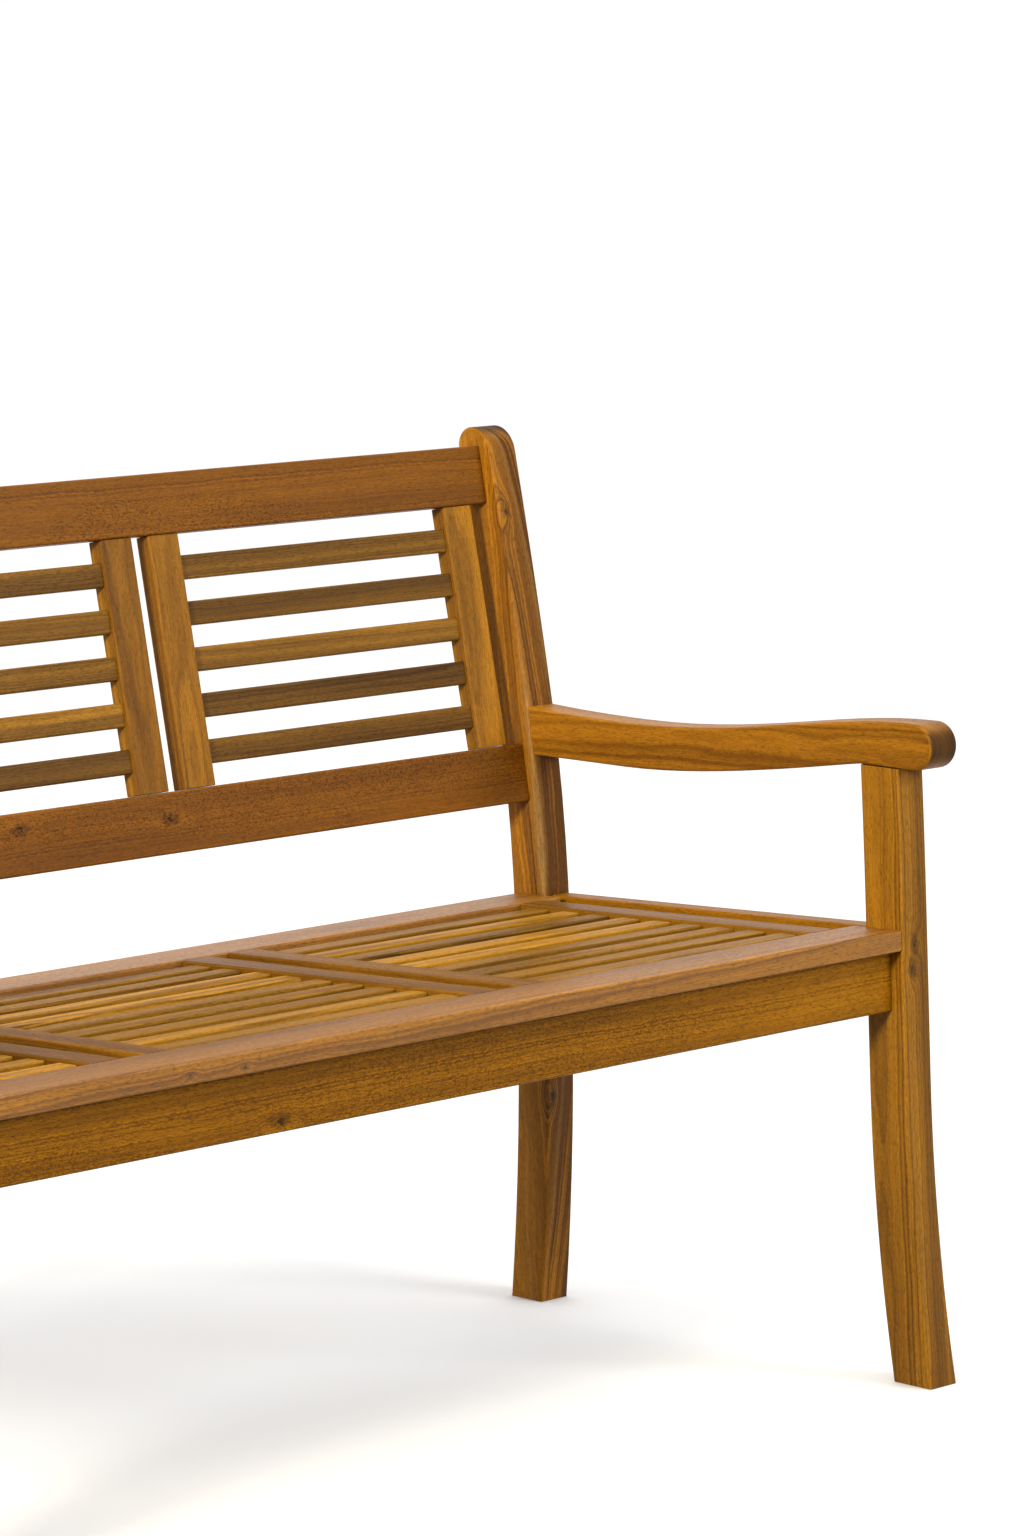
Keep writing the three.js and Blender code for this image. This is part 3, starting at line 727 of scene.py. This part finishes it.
def build_seat():
    looks = {
        "seat_front_board": dict(color=COPPER, sheen=0.35, Figure=0.2,
                                 **knots(3, (-224, -32, -2), (-160, -32, -4))),
        "seat_rear_board": dict(color=COPPER, sheen=0.35),
        # Drift paints shade on the front apron, darker towards its left end
        "front_apron": dict(color=OLIVE, sheen=0.08, Figure=1.0, Drift=(0.25, 0.0, 0.0),
                            **knots(7, (-107, -10, -20))),
        "rear_apron": dict(color=OLIVE, Figure=0.5),
    }
    for name, look in looks.items():
        low, high = span(name, SEAT)
        batten("acacia_" + name, name, SEAT, "X", low, high, BOARD_ROUND, "acacia_boards",
               contrast=0.8, Pores=0.9, Streaks=0.1, **look)
    for i in range(1, 2 * len(BAYS) + 1):
        low, high = span(f"seat_bar_{i}", SEAT)
        batten(f"acacia_seat_bar_{i}", f"seat_bar_{i}", SEAT, "Y", low, high, BOARD_ROUND,
               "acacia_boards", color=between(UMBER, COPPER, 0.55), contrast=0.8, sheen=0.08)
    tones = random.Random("seat slats")
    for bay in BAYS:
        for i in range(1, SEAT_SLATS + 1):
            node = f"seat_slat_{bay}_{i}"
            low, high = span(node, SEAT)
            # Drift paints shade on the seat slats: lighter on their tops and rear edges, darker down
            # their fronts in the gaps between slats
            batten("acacia_" + node, node, SEAT, "X", low, high, SLAT_ROUND, "acacia_slats",
                   color=between(UMBER, STRAW, tones.uniform(0.3, 1.1)), contrast=1.2,
                   sheen=0.05, Streaks=0.6, Drift=(0.0, 8.0, 35.0))


# Tones of the back slats from the top down, 0 dark to 1 light
BACK_TONES = {
    "left": (0.35, 0.1, 0.5, 0.25, 0.7),
    "middle": (0.25, 0.55, 0.4, 0.7, 0.1),
    "right": (0.25, 0.2, 0.4, 0.0, 0.3),
}


def build_back():
    for name, spots in (("back_top_rail", ()), ("back_lower_rail", ((28, -11, 14), (218, -11, 4)))):
        low, high = span(name, BACK)
        look = knots(6, *spots) if spots else {}
        batten("acacia_" + name, name, BACK, "X", low, high, BOARD_ROUND, "acacia_boards",
               color=RUSSET, contrast=0.8, Pores=0.6, Bands=1.0, Figure=1.0, Streaks=0.0, **look)
    for bay in BAYS:
        node = f"back_panel_{bay}"
        low, high = span(node, PANEL)
        for i, start in enumerate((low.x, high.x - STILE_WIDTH), 1):
            batten(f"acacia_back_stile_{bay}_{i}", node, PANEL, "Z",
                   Vector((start, low.y, low.z)), Vector((start + STILE_WIDTH, high.y, high.z)),
                   BOARD_ROUND, "acacia_panels", color=HONEY, contrast=1.1)
        middle = (low.y + high.y) / 2
        slats = len(BACK_TONES[bay])
        gap = (high.z - low.z - slats * BACK_SLAT_HEIGHT) / (slats + 1)
        inset = STILE_WIDTH - SLAT_LET_IN
        for i, tone in enumerate(BACK_TONES[bay], 1):
            top = high.z - gap - (i - 1) * (BACK_SLAT_HEIGHT + gap)
            batten(f"acacia_back_slat_{bay}_{i}", node, PANEL, "X",
                   Vector((low.x + inset, middle - BACK_SLAT_THICK / 2, top - BACK_SLAT_HEIGHT)),
                   Vector((high.x - inset, middle + BACK_SLAT_THICK / 2, top)),
                   BACK_SLAT_ROUND, "acacia_panels", color=between(UMBER, STRAW, tone))


# ---- Studio -------------------------------------------------------------------------------------

CAMERA_SPOT = (-3.499, -3.8755, 1.389)
CAMERA_TURN = 45.6                 # degrees to the right of +Y
CAMERA_FALL = 8.04                 # degrees below the horizon
CAMERA_LENS = 135.2                # mm, on a picture side of 36 mm
SKY_LOW = 0.22                     # radiance of the studio's walls, and of its ceiling
SKY_HIGH = 1.05
BACKDROP_WAY = (0.71, 0.70, 0.0)   # the white backdrop stands behind the bench
BACKDROP_GLOW = 0.9
FLOOR_REACH = 400                  # metres from the bench to the edge of the floor
LAMP_AIM = Vector((0.0, 0.0, 0.45))
SOFTBOXES = (                      # name, place, side, watts and colour
    ("key", (-4.6, -1.5, 2.4), 0.8, 265, (1.0, 0.94, 0.74)),
    ("fill", (2.6, -4.8, 2.6), 2.2, 140, (1.0, 1.0, 1.0)),
)


def add_camera():
    data = bpy.data.cameras.new("camera")
    data.lens = CAMERA_LENS
    data.sensor_width = 36
    data.clip_end = 200
    camera = bpy.data.objects.new("camera", data)
    camera.location = CAMERA_SPOT
    camera.rotation_euler = (math.radians(90 - CAMERA_FALL), 0, math.radians(-CAMERA_TURN))
    bpy.context.scene.collection.objects.link(camera)
    bpy.context.scene.camera = camera


def add_softbox(name, spot, side, watts, color):
    """A square lamp that points at the middle of the bench and isn't seen itself."""
    data = bpy.data.lights.new(name, "AREA")
    data.size = side
    data.energy = watts
    data.color = color
    lamp = bpy.data.objects.new(name, data)
    lamp.location = spot
    lamp.rotation_euler = (LAMP_AIM - lamp.location).to_track_quat("-Z", "Y").to_euler()
    lamp.visible_camera = False
    bpy.context.scene.collection.objects.link(lamp)


def add_floor():
    """A pale matt floor just under the feet, which throws no light back at the bench."""
    made = bmesh.new()
    bmesh.ops.create_grid(made, x_segments=8, y_segments=8, size=FLOOR_REACH)
    floor = bpy.data.objects.new("floor", finished(made, "floor"))
    floor.location.z = cad_low.z - 0.2 * MM
    bpy.context.scene.collection.objects.link(floor)
    material = bpy.data.materials.new("pale_floor")
    material.use_nodes = True
    surface = material.node_tree.nodes["Principled BSDF"]
    surface.inputs["Base Color"].default_value = (0.97, 0.97, 0.97, 1.0)
    surface.inputs["Roughness"].default_value = 0.9
    surface.inputs["Specular IOR Level"].default_value = 0.1
    floor.data.materials.append(material)
    floor.visible_diffuse = False


def add_sky():
    """Light from all round: dim walls, a bright ceiling and a white backdrop."""
    world = bpy.data.worlds.new("studio")
    world.use_nodes = True
    t = Tree(world.node_tree)
    way = t.node("ShaderNodeTexCoord").outputs["Generated"]
    up = t.step(t.node("ShaderNodeSeparateXYZ", {0: way}).outputs[2], 0.0, 0.8)
    glow = t.math("MULTIPLY_ADD", up, SKY_HIGH - SKY_LOW, SKY_LOW)
    behind = t.step(t.vector("DOT_PRODUCT", way, BACKDROP_WAY), 0.2, 0.95)
    glow = t.math("MULTIPLY_ADD", behind, BACKDROP_GLOW, glow)
    backdrop = world.node_tree.nodes["Background"].inputs
    backdrop["Color"].default_value = (1.0, 1.0, 1.0, 1.0)
    t.feed(backdrop["Strength"], glow)
    bpy.context.scene.world = world


build_side_frames()
build_seat()
build_back()
build_bolts()
add_camera()
add_floor()
add_sky()
for softbox in SOFTBOXES:
    add_softbox(*softbox)
bpy.context.scene.view_settings.view_transform = "Standard"
